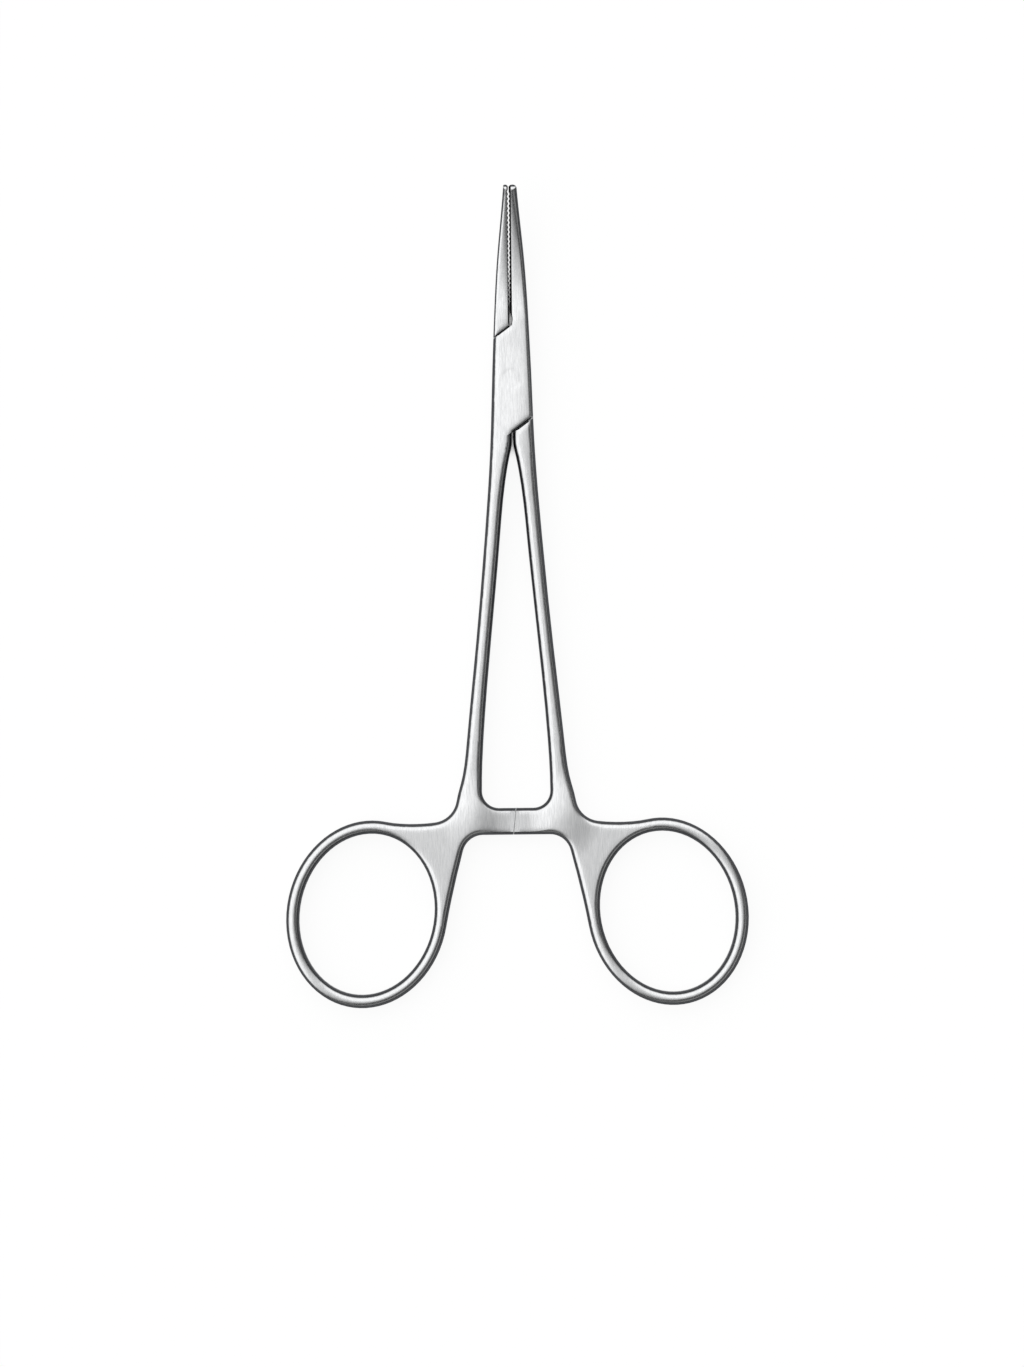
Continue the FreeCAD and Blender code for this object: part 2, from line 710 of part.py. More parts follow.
def thin_tongue(body):
    """Thins the tongue half between its two shoulders so that it passes through the slot."""
    low = -size("cheek_reach") - size("shoulder_gap_low")
    high = size("cheek_reach") + size("shoulder_gap_high")
    far = 3 * size("box_half_width")
    corners = [(-far, cheek_line(low, -far)), (far, cheek_line(low, far)),
               (far, cheek_line(high, far)), (-far, cheek_line(high, -far))]
    for name, sign in (("Front", 1), ("Back", -1)):
        height = lifted(MID + sign * TONGUE_THICKNESS / 2)
        sketch = add_sketch(body, name + "Thinning", "XY_Plane", polygon(corners), height)
        cut_one_way(body, name + "Tongue", sketch, sign > 0)


def slanted_edges(body, name, distance, x, material, radius):
    """Section that rounds a slanted wall's front and back edges, drawn at x across the wall.

    The wall's material lies above it for 1 and below it for -1.
    """
    spot = point(x, cheek_line(distance, x))
    inner, outer = material * radius, -material * radius
    curves = []
    for face_z, way in ((size("box_thickness"), 1), (0.0, -1)):
        on_wall, on_face = point(0, face_z - way * radius), point(inner, face_z)
        bulge = radius * (1 - math.sqrt(0.5))
        middle = point(material * bulge, face_z - way * bulge)
        beyond = face_z + way * radius
        curves += [arc_through(on_wall, middle, on_face), line(on_face, point(inner, beyond)),
                   line(point(inner, beyond), point(outer, beyond)),
                   line(point(outer, beyond), point(outer, on_wall.y)),
                   line(point(outer, on_wall.y), on_wall)]
    return add_sketch(body, name, "XZ_Plane", curves, upright(spot, 90 + size("cheek_slant")))


def round_cheeks(body):
    """Rounds the edges of the box half's cheeks on each side of its slot."""
    radius, x = size("cheek_round"), -size("crotch_gap") / 2
    lower = slanted_edges(body, "LowerCheek", -size("cheek_reach"), x, 1, radius)
    cut_one_way(body, "RoundLowerCheek", lower, True)
    radius, x = size("upper_cheek_round"), jaw_face_x(RIGHT, size("jaw_root")) + size("relief_foot")
    upper = slanted_edges(body, "UpperCheek", size("cheek_reach"), x, -1, radius)
    cut_one_way(body, "RoundUpperCheek", upper, False)


def round_shoulders(body):
    """Rounds the edges of the tongue half's two shoulders."""
    low = -size("cheek_reach") - size("shoulder_gap_low")
    high = size("cheek_reach") + size("shoulder_gap_high")
    for name, distance, material in (("Low", low, -1), ("High", high, 1)):
        sketch = slanted_edges(body, name + "Shoulder", distance, 0.0, material, size("shoulder_round"))
        cut_through(body, "Round" + name + "Shoulder", sketch)


def bore(body, radius):
    """Pin hole on the pivot axis."""
    sketch = add_sketch(body, "PinHole", "XY_Plane", [])
    circle = sketch.addGeometry(Part.Circle(point(0, 0), point(0, 0) + FreeCAD.Vector(0, 0, 1), 1.0), False)
    sketch.addConstraint(Sketcher.Constraint("Coincident", circle, 3, -1, 1))
    sketch.addConstraint(Sketcher.Constraint("Radius", circle, 1.0))
    sketch.renameConstraint(sketch.ConstraintCount - 1, "hole_radius")
    sketch.setExpression("Constraints.hole_radius", radius)
    cut_through(body, "Bore", sketch)


def round_half(body, outline, side, jaw_round):
    edges = outline + [("handle", ring_ellipse(side, 0.0))]
    round_edges(body, edges, "handle", "handle_round", "RoundHandle")
    round_edges(body, edges, "jaw", jaw_round, "RoundJaw")
    round_edges(body, edges, "face", "face_round", "RoundFace")
    round_tip(body, -side)
    round_nose(body)


def make_box_half():
    """Left ring, left shank, front ratchet plate, slotted box and right jaw, forged in one."""
    body = document.addObject("PartDesign::Body", "BoxHalf")
    body.Label = "box_half"
    outline = box_half_outline()
    add_blank(body)
    trim_to_plan(body, outline, LEFT)
    round_half(body, outline, LEFT, "right_jaw_round")
    round_cheeks(body)
    thin_plate(body, LEFT, "LeftBar", size("left_ramp_start"), size("left_ramp_end"))
    clear_for_other_plate(body, LEFT, "back")
    cut_ratchet_teeth(body, LEFT, seam_x(LEFT, "front"))
    cut_slot(body)
    bore(body, "Sizes.pin_radius")
    cut_jaw_teeth(body, RIGHT)
    return body


def make_tongue_half():
    """Right ring, right shank, rear ratchet plate, tongue and left jaw, forged in one."""
    body = document.addObject("PartDesign::Body", "TongueHalf")
    body.Label = "tongue_half"
    outline = tongue_half_outline()
    add_blank(body)
    trim_to_plan(body, outline, RIGHT)
    thin_tongue(body)
    round_half(body, outline, RIGHT, "left_jaw_round")
    round_shoulders(body)
    thin_plate(body, RIGHT, "RightBar", size("right_ramp_start"), size("right_ramp_end"))
    clear_for_other_plate(body, RIGHT, "front")
    cut_ratchet_teeth(body, RIGHT, seam_x(RIGHT, "back"))
    bore(body, "Sizes.pin_radius + Sizes.pin_clearance")
    cut_jaw_teeth(body, LEFT)
    return body


def make_lock_pin():
    """Pivot pin, riveted and ground flush with both cheeks."""
    pin = document.addObject("Part::Cylinder", "LockPin")
    pin.Label = "lock_pin"
    pin.setExpression("Radius", "Sizes.pin_radius")
    pin.setExpression("Height", "Sizes.box_thickness")
    return pin


def check(pieces):
    document.recompute()
    for item in document.Objects:
        if "Invalid" in item.State or "Error" in item.State:
            raise RuntimeError("%s failed: %s" % (item.Label, item.State))
    for piece in pieces:
        if piece.Shape.isNull() or not piece.Shape.isValid() or len(piece.Shape.Solids) != 1:
            raise RuntimeError("%s has no valid solid" % piece.Label)
        print(piece.Label, "volume", round(piece.Shape.Volume, 2), "faces", len(piece.Shape.Faces))


pieces = [make_box_half(), make_tongue_half(), make_lock_pin()]
check(pieces)
os.makedirs("parts", exist_ok=True)
for piece in pieces:
    piece.Shape.exportStep("parts/%s.step" % piece.Label)
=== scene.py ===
import json
import math

import bpy
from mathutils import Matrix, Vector


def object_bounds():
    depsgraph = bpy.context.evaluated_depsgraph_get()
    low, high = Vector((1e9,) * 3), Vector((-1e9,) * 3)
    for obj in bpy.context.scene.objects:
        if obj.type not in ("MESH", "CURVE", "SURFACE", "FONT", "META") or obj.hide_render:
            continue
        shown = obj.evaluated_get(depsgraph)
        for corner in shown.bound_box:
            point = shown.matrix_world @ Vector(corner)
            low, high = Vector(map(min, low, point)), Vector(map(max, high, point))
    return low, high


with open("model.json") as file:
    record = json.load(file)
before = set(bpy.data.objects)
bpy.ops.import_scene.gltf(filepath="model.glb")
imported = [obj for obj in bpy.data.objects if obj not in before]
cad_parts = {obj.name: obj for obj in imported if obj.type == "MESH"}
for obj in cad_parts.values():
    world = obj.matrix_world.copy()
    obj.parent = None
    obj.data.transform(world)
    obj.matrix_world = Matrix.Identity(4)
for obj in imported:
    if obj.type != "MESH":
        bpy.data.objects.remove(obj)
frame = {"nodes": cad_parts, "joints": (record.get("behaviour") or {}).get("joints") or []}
cad_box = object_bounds()

bl_info = {
    "name": "Mosquito forceps",
    "version": (1, 0, 0),
    "blender": (4, 5, 0),
    "location": "3D View > Sidebar > Forceps",
    "description": "Satin steel finish and a studio table for a pair of mosquito forceps",
    "category": "Object",
}

FLOAT = "NodeSocketFloat"
VECTOR = "NodeSocketVector"

# The swells of the ground faces: where each is highest, how far it reaches, and its height.
# A reach of 1 m through the thickness gives the top and the underside the same swell.
SWELLS = (
    ((0.0018, -0.006, 0.0), (0.006, 0.018, 1.0), 0.0003),
    ((-0.0062, -0.0665, 0.0), (0.0055, 0.007, 1.0), 0.0003),
    ((0.0075, -0.0665, 0.0), (0.0055, 0.007, 1.0), 0.0003),
)

# How steel of this finish reflects at its rims, and how much its brush marks are felt.
RIM_TINT = (0.35, 0.35, 0.36, 1.0)
GRAIN_STRENGTH = 0.6

# What clouds and the jaws' shade add to the roughness.
HAZE_ROUGHNESS = 0.08
SHADE_ROUGHNESS = 0.7

# The studio, as angles from straight up: lean is to the lower right, tilt is any way. Each pair is
# where an area has faded out and where it is at its full level.
SOFTBOX_LEAN = (math.radians(26.0), math.radians(4.0))
WINDOW_LEAN = (math.radians(2.0), math.radians(-7.0))
SOFTBOX_TILT = (math.radians(80.0), math.radians(66.0))
STRIP_INNER_LEAN = (math.radians(42.0), math.radians(50.0))
STRIP_OUTER_LEAN = (math.radians(68.0), math.radians(60.0))
SKYLINE_TILT = (math.radians(70.0), math.radians(84.0))


class ForcepsSteel(bpy.types.PropertyGroup):
    """Colours and grain of the satin steel, with the painted shade of its side walls and of the jaws'
    parting.
    """

    ground_tone: bpy.props.FloatVectorProperty(
        name="Ground faces",
        description="Colour of the brushed faces",
        subtype="COLOR",
        size=3,
        min=0.0,
        max=1.0,
        default=(0.80, 0.805, 0.81),
    )
    furrow_tone: bpy.props.FloatVectorProperty(
        name="Furrows",
        description="Colour at the bottom of the brush marks",
        subtype="COLOR",
        size=3,
        min=0.0,
        max=1.0,
        default=(0.66, 0.667, 0.675),
    )
    # Painted shade: a dark colour on the rounded edges and upright walls, standing in for the dark of
    # the studio that they mirror; the brush reaching them less is not its cause.
    side_shade_tone: bpy.props.FloatVectorProperty(
        name="Side walls",
        description="Colour of the side walls, which the brush doesn't reach",
        subtype="COLOR",
        size=3,
        min=0.0,
        max=1.0,
        default=(0.085, 0.087, 0.092),
    )
    # Painted shade: a near-black colour on the steel along the parting of the jaws, standing in for
    # the shadow in the serrations.
    parting_shade_tone: bpy.props.FloatVectorProperty(
        name="Jaw shade",
        description="Colour of the steel along the parting of the serrated jaws",
        subtype="COLOR",
        size=3,
        min=0.0,
        max=1.0,
        default=(0.02, 0.02, 0.021),
    )
    polish: bpy.props.FloatProperty(
        name="Polished roughness",
        description="Roughness on the ridges of the grain",
        subtype="FACTOR",
        min=0.0,
        max=1.0,
        default=0.15,
    )
    satin: bpy.props.FloatProperty(
        name="Satin roughness",
        description="Roughness in the furrows of the grain",
        subtype="FACTOR",
        min=0.0,
        max=1.0,
        default=0.23,
    )
    grain_width: bpy.props.FloatProperty(
        name="Grain width",
        description="Width of one brush mark",
        subtype="DISTANCE",
        unit="LENGTH",
        precision=6,
        min=0.00001,
        default=0.00011,
    )
    grain_length: bpy.props.FloatProperty(
        name="Grain length",
        description="Length of one brush mark",
        subtype="DISTANCE",
        unit="LENGTH",
        precision=6,
        min=0.0001,
        default=0.0016,
    )
    grain_depth: bpy.props.FloatProperty(
        name="Grain depth",
        description="Depth of one brush mark",
        subtype="DISTANCE",
        unit="LENGTH",
        precision=7,
        min=0.0,
        default=0.000004,
    )
    edge_break: bpy.props.FloatProperty(
        name="Edge break",
        description="How far the tumbling has rounded and brightened the sharp edges",
        subtype="DISTANCE",
        unit="LENGTH",
        precision=6,
        min=0.0,
        default=0.00008,
    )
    crown: bpy.props.FloatProperty(
        name="Crown width",
        description="How far the hand finishing has crowned the faces in from their edges",
        subtype="DISTANCE",
        unit="LENGTH",
        precision=6,
        min=0.0,
        default=0.0013,
    )
    crown_share: bpy.props.FloatProperty(
        name="Crown strength",
        description="How much of that crown shows",
        subtype="FACTOR",
        min=0.0,
        max=1.0,
        default=0.4,
    )
    parting: bpy.props.FloatProperty(
        name="Parting",
        description="Where the dark parting of the jaws lies, to the right of the pivot",
        subtype="DISTANCE",
        unit="LENGTH",
        precision=6,
        default=-0.00018,
    )
    parting_width: bpy.props.FloatProperty(
        name="Parting width",
        description="Width of the dark parting of the jaws",
        subtype="DISTANCE",
        unit="LENGTH",
        precision=6,
        default=0.00064,
    )
    jaw_root: bpy.props.FloatProperty(
        name="Jaw root",
        description="Where the jaws leave the box, above the pivot",
        subtype="DISTANCE",
        unit="LENGTH",
        precision=6,
        default=0.0079,
    )
    pin_centre: bpy.props.FloatVectorProperty(
        name="Pin centre",
        description="Where the lock pin was riveted and ground over",
        subtype="XYZ",
        unit="LENGTH",
        size=3,
        default=frame["joints"][0]["pos_m"],
    )
    pin_radius: bpy.props.FloatProperty(
        name="Pin zone",
        description="How far round the pin the grinding has taken the edges away",
        subtype="DISTANCE",
        unit="LENGTH",
        precision=5,
        default=0.0014,
    )
    seam_centre: bpy.props.FloatVectorProperty(
        name="Seam centre",
        description="Where the ratchet plates meet in the middle of the bar",
        subtype="XYZ",
        unit="LENGTH",
        size=3,
        default=(-0.00025, -0.0673, 0.0),
    )
    seam_radius: bpy.props.FloatProperty(
        name="Seam zone",
        description="How far along the seam the grinding has taken the edges away",
        subtype="DISTANCE",
        unit="LENGTH",
        precision=5,
        default=0.0026,
    )
    seam_slimness: bpy.props.FloatProperty(
        name="Seam slimness",
        description="How many times narrower that zone is across the seam",
        min=1.0,
        default=3.2,
    )


class ForcepsStage(bpy.types.PropertyGroup):
    """The table, the lights and the camera."""

    table_width: bpy.props.FloatProperty(
        name="Table width",
        description="Side of the square table top",
        subtype="DISTANCE",
        unit="LENGTH",
        default=12.0,
    )
    table_tone: bpy.props.FloatVectorProperty(
        name="Table",
        description="Colour of the table top",
        subtype="COLOR",
        size=3,
        min=0.0,
        max=1.0,
        default=(0.97, 0.97, 0.97),
    )
    table_glow: bpy.props.FloatProperty(
        name="Table glow",
        description="Share of plain white in what is seen of the table",
        subtype="FACTOR",
        min=0.0,
        max=1.0,
        default=0.88,
    )
    slit_reach: bpy.props.FloatProperty(
        name="Slit reach",
        description="How near the steel has to be for the table to lose its plain white",
        subtype="DISTANCE",
        unit="LENGTH",
        precision=5,
        min=0.0,
        default=0.0012,
    )
    softbox_level: bpy.props.FloatProperty(
        name="Softbox level",
        description="Brightness of the big softbox overhead",
        min=0.0,
        default=0.66,
    )
    window_level: bpy.props.FloatProperty(
        name="Window level",
        description="Brightness that the window adds to the softbox, from the upper left",
        min=0.0,
        default=0.6,
    )
    strip_level: bpy.props.FloatProperty(
        name="Strip level",
        description="Brightness of the weak strip on the dark side of the studio",
        min=0.0,
        default=0.3,
    )
    skyline_level: bpy.props.FloatProperty(
        name="Skyline level",
        description="Brightness of the pale band all round, low down",
        min=0.0,
        default=0.5,
    )
    shade_level: bpy.props.FloatProperty(
        name="Shade level",
        description="Brightness of the dark side of the studio",
        min=0.0,
        default=0.05,
    )
    fill_power: bpy.props.FloatProperty(
        name="Table fill",
        description="Power of the lamp over the table",
        subtype="POWER",
        unit="POWER",
        min=0.0,
        default=10.0,
    )
    fill_width: bpy.props.FloatProperty(
        name="Fill width",
        description="Side of that square lamp",
        subtype="DISTANCE",
        unit="LENGTH",
        default=0.3,
    )
    fill_place: bpy.props.FloatVectorProperty(
        name="Fill place",
        description="Where that lamp hangs, facing straight down",
        subtype="XYZ",
        unit="LENGTH",
        size=3,
        default=(0.0, -0.03, 1.8),
    )
    view_height: bpy.props.FloatProperty(
        name="View height",
        description="Length of table between the top and the bottom of the picture",
        subtype="DISTANCE",
        unit="LENGTH",
        default=0.2084,
    )
    view_centre: bpy.props.FloatVectorProperty(
        name="View centre",
        description="Point in the middle of the picture",
        subtype="XYZ",
        unit="LENGTH",
        size=3,
        default=(-0.00046, -0.0464, 0.002),
    )
    view_roll: bpy.props.FloatProperty(
        name="View roll",
        description="Turn of the camera about its own line of sight",
        subtype="ANGLE",
        unit="ROTATION",
        default=math.radians(-0.606),
    )
    lens: bpy.props.FloatProperty(
        name="Lens",
        description="Focal length of the camera",
        subtype="DISTANCE_CAMERA",
        unit="CAMERA",
        default=150.0,
    )


def socket_name(name):
    """The label of an input, from the name that stands for it in the code."""
    return name.replace("_", " ").title()


def feed(tree, slot, value):
    """Links a socket to an input, or sets the input to a number or a colour."""
    if isinstance(value, bpy.types.NodeSocket):
        tree.links.new(value, slot)
    elif slot.type == "RGBA":
        slot.default_value = (*value, 1.0)
    else:
        slot.default_value = value


def add_node(tree, kind, place, **values):
    """A node of that kind in a tree, with the properties and the inputs that are named."""
    node = tree.nodes.new(kind)
    node.location = place
    for name, value in values.items():
        if hasattr(node, name):
            setattr(node, name, value)
        else:
            feed(tree, node.inputs[socket_name(name)], value)
    return node


def add_math(tree, operation, place, *values):
    """A Math node whose inputs are sockets or plain numbers."""
    node = add_node(tree, "ShaderNodeMath", place, operation=operation)
    for slot, value in zip(node.inputs, values):
        feed(tree, slot, value)
    return node.outputs["Value"]


def add_vector_math(tree, operation, place, *values):
    """A Vector Math node whose inputs are sockets. Gives the vector, or the number for a length
    or a dot product."""
    node = add_node(tree, "ShaderNodeVectorMath", place, operation=operation)
    for slot, value in zip(node.inputs, values):
        feed(tree, slot, value)
    return node.outputs["Value" if operation in ("LENGTH", "DOT_PRODUCT") else "Vector"]


def add_ramp(tree, place, value, low, high):
    """A smooth step of a value, 0 at low and 1 at high. High may be the smaller one."""
    node = add_node(tree, "ShaderNodeMapRange", place, interpolation_type="SMOOTHSTEP")
    ends = ((low, 0.0), (high, 1.0)) if low < high else ((high, 1.0), (low, 0.0))
    node.inputs["From Min"].default_value, node.inputs["To Min"].default_value = ends[0]
    node.inputs["From Max"].default_value, node.inputs["To Max"].default_value = ends[1]
    feed(tree, node.inputs["Value"], value)
    return node.outputs["Result"]


def add_colour_mix(tree, place, factor, first, second):
    """A Mix node for colours, whose inputs are sockets or colours."""
    node = add_node(tree, "ShaderNodeMix", place, data_type="RGBA")
    slots = [socket for socket in node.inputs if socket.enabled]
    for slot, value in zip(slots, (factor, first, second)):
        feed(tree, slot, value)
    return next(socket for socket in node.outputs if socket.enabled)


def node_group(name, inputs, outputs, fill):
    """The shader node group of that name. Fill lays its nodes when it is first asked for."""
    tree = bpy.data.node_groups.get(name)
    if tree:
        return tree
    tree = bpy.data.node_groups.new(name, "ShaderNodeTree")
    for label, kind in inputs.items():
        tree.interface.new_socket(label, in_out="INPUT", socket_type=kind)
    for label, kind in outputs.items():
        tree.interface.new_socket(label, in_out="OUTPUT", socket_type=kind)
    start = add_node(tree, "NodeGroupInput", (-900, 0))
    end = add_node(tree, "NodeGroupOutput", (900, 0))
    for label, value in fill(tree, start.outputs).items():
        tree.links.new(value, end.inputs[label])
    return tree


def place_group(tree, group, place, **values):
    """A group node in a material's tree, with the named inputs linked or set."""
    node = add_node(tree, "ShaderNodeGroup", place, node_tree=group)
    for name, value in values.items():
        feed(tree, node.inputs[socket_name(name)], value)
    return node


def fill_brush_grain(tree, given):
    across = add_math(tree, "DIVIDE", (-700, 100), 1.0, given["Width"])
    along = add_math(tree, "DIVIDE", (-700, -100), 1.0, given["Length"])
    scale = add_node(tree, "ShaderNodeCombineXYZ", (-500, 0))
    for axis, value in zip("XYZ", (across, along, across)):
        tree.links.new(value, scale.inputs[axis])
    stretched = add_vector_math(
        tree, "MULTIPLY", (-300, 0), given["Vector"], scale.outputs["Vector"]
    )
    marks = add_node(tree, "ShaderNodeTexNoise", (-100, 100), scale=1.0, detail=3.0, roughness=0.6)
    tree.links.new(stretched, marks.inputs["Vector"])
    haze = add_node(tree, "ShaderNodeTexNoise", (-100, -200), detail=2.0, roughness=0.5)
    tree.links.new(given["Vector"], haze.inputs["Vector"])
    tree.links.new(given["Haze Scale"], haze.inputs["Scale"])
    return {"Height": marks.outputs["Fac"], "Haze": haze.outputs["Fac"]}


def brush_grain_group():
    """Long fine brush marks along Y: their height, from 0 in the furrows to 1 on the ridges, and
    the soft clouds of a hand-held brush."""
    inputs = {"Vector": VECTOR, "Width": FLOAT, "Length": FLOAT, "Haze Scale": FLOAT}
    return node_group("Brush Grain", inputs, {"Height": FLOAT, "Haze": FLOAT}, fill_brush_grain)


def fill_edge_break(tree, given):
    bevel = add_node(tree, "ShaderNodeBevel", (-500, 0), samples=6)
    tree.links.new(given["Radius"], bevel.inputs["Radius"])
    flat = add_node(tree, "ShaderNodeNewGeometry", (-500, -200))
    agree = add_vector_math(
        tree, "DOT_PRODUCT", (-250, 0), bevel.outputs["Normal"], flat.outputs["Normal"]
    )
    crown = add_node(tree, "ShaderNodeBevel", (-500, 300), samples=8)
    tree.links.new(given["Crown"], crown.inputs["Radius"])
    blend = add_node(tree, "ShaderNodeMix", (0, 300), data_type="VECTOR")
    factor, worn, crowned = (socket for socket in blend.inputs if socket.enabled)
    tree.links.new(given["Share"], factor)
    tree.links.new(bevel.outputs["Normal"], worn)
    tree.links.new(crown.outputs["Normal"], crowned)
    blended = next(socket for socket in blend.outputs if socket.enabled)
    return {
        "Edge": add_ramp(tree, (0, 0), agree, 0.995, 0.90),
        "Normal": add_vector_math(tree, "NORMALIZE", (250, 300), blended),
    }


def edge_break_group():
    """Where an edge is, from 0 on open faces to 1 on sharp edges, and the normal of worn edges
    and crowned faces."""
    inputs = {"Radius": FLOAT, "Crown": FLOAT, "Share": FLOAT}
    return node_group("Edge Break", inputs, {"Edge": FLOAT, "Normal": VECTOR}, fill_edge_break)


def fill_ground_over(tree, given):
    offset = add_vector_math(tree, "SUBTRACT", (-600, 0), given["Vector"], given["Centre"])
    weights = add_node(tree, "ShaderNodeCombineXYZ", (-600, -200), x=given["Slimness"], y=1.0)
    plan = add_vector_math(tree, "MULTIPLY", (-400, 0), offset, weights.outputs["Vector"])
    distance = add_vector_math(tree, "LENGTH", (-200, 0), plan)
    share = add_math(tree, "DIVIDE", (0, 0), distance, given["Radius"])
    return {"Worn": add_ramp(tree, (300, 0), share, 0.8, 1.3)}


def ground_over_group():
    """Where a joint was ground over after fitting, and so has no worn edges: 0 there, 1 elsewhere."""
    inputs = {"Vector": VECTOR, "Centre": VECTOR, "Radius": FLOAT, "Slimness": FLOAT}
    return node_group("Ground Over", inputs, {"Worn": FLOAT}, fill_ground_over)


def fill_jaw_shade(tree, given):
    point = add_node(tree, "ShaderNodeSeparateXYZ", (-700, 0), vector=given["Vector"])
    aside = add_math(tree, "SUBTRACT", (-500, 200), point.outputs["X"], given["Parting"])
    aside = add_math(tree, "ABSOLUTE", (-350, 200), aside)
    share = add_math(tree, "DIVIDE", (-200, 200), aside, given["Half Width"])
    line = add_ramp(tree, (0, 200), share, 1.15, 0.85)
    above = add_math(tree, "SUBTRACT", (-500, 0), point.outputs["Y"], given["Root"])
    past_root = add_ramp(tree, (-200, 0), above, 0.0, 0.0006)
    line = add_math(tree, "MULTIPLY", (200, 100), line, past_root)
    facing = add_node(tree, "ShaderNodeSeparateXYZ", (-700, -300), vector=given["Normal"])
    level = add_math(tree, "ABSOLUTE", (-500, -300), facing.outputs["Z"])
    off_wall = add_ramp(tree, (-200, -300), level, 0.1, 0.4)
    return {"Shade": add_math(tree, "MULTIPLY", (400, 0), line, off_wall)}


def jaw_shade_group():
    """The painted shade along the parting of the jaws, from 0 to 1. Their serrated faces stay bare.
    """
    inputs = {
        "Vector": VECTOR, "Normal": VECTOR, "Parting": FLOAT, "Half Width": FLOAT, "Root": FLOAT
    }
    return node_group("Jaw Shade", inputs, {"Shade": FLOAT}, fill_jaw_shade)


def fill_swell(tree, given):
    offset = add_vector_math(tree, "SUBTRACT", (-600, 0), given["Vector"], given["Centre"])
    scaled = add_vector_math(tree, "DIVIDE", (-400, 0), offset, given["Reach"])
    distance = add_vector_math(tree, "LENGTH", (-200, 0), scaled)
    dome = add_ramp(tree, (0, 0), distance, 1.0, 0.0)
    return {"Height": add_math(tree, "MULTIPLY", (300, 0), dome, given["Rise"])}


def swell_group():
    """A low round swell that the grinding left on a face: its height over the flat."""
    inputs = {"Vector": VECTOR, "Centre": VECTOR, "Reach": VECTOR, "Rise": FLOAT}
    return node_group("Swell", inputs, {"Height": FLOAT}, fill_swell)


def fill_side_shade(tree, given):
    facing = add_node(tree, "ShaderNodeSeparateXYZ", (-600, 0), vector=given["Normal"])
    level = add_math(tree, "ABSOLUTE", (-400, 0), facing.outputs["Z"])
    turned = add_ramp(tree, (-100, 0), level, 0.92, 0.77)
    off_wall = add_ramp(tree, (-100, -300), level, 0.12, 0.38)
    rest = add_math(tree, "SUBTRACT", (100, -300), 1.0, given["Wall"])
    share = add_math(tree, "MULTIPLY_ADD", (300, -300), off_wall, rest, given["Wall"])
    return {"Side": add_math(tree, "MULTIPLY", (500, 0), turned, share)}


def side_shade_group():
    """How far the surface turns away from the two flat faces, from 0 to 1 round the edges and
    back to a smaller share, Wall, on the upright walls: where the painted shade of the side walls
    goes."""
    inputs = {"Normal": VECTOR, "Wall": FLOAT}
    return node_group("Side Wall", inputs, {"Side": FLOAT}, fill_side_shade)


def add_worn_share(tree, point, steel):
    """How worn the edges are: 1, and 0 where the pin and the seam were ground over."""
    zones = (
        (steel.pin_centre, steel.pin_radius, 1.0),
        (steel.seam_centre, steel.seam_radius, steel.seam_slimness),
    )
    worn = 1.0
    for number, (centre, radius, slimness) in enumerate(zones):
        zone = place_group(
            tree,
            ground_over_group(),
            (-1700, -300 * number),
            vector=point,
            centre=centre,
            radius=radius,
            slimness=slimness,
        )
        worn = add_math(tree, "MULTIPLY", (-1450, -300 * number), worn, zone.outputs["Worn"])
    return worn


def add_swells(tree, point, normal):
    """The normal of the faces with their low swells."""
    height = 0.0
    for number, (centre, reach, rise) in enumerate(SWELLS):
        drop = -700 - 250 * number
        swell = place_group(
            tree, swell_group(), (-1200, drop), vector=point, centre=centre, reach=reach, rise=rise
        )
        height = add_math(tree, "ADD", (-900, drop), height, swell.outputs["Height"])
    swollen = add_node(tree, "ShaderNodeBump", (-600, -500), strength=1.0, distance=1.0)
    tree.links.new(height, swollen.inputs["Height"])
    tree.links.new(normal, swollen.inputs["Normal"])
    return swollen.outputs["Normal"]


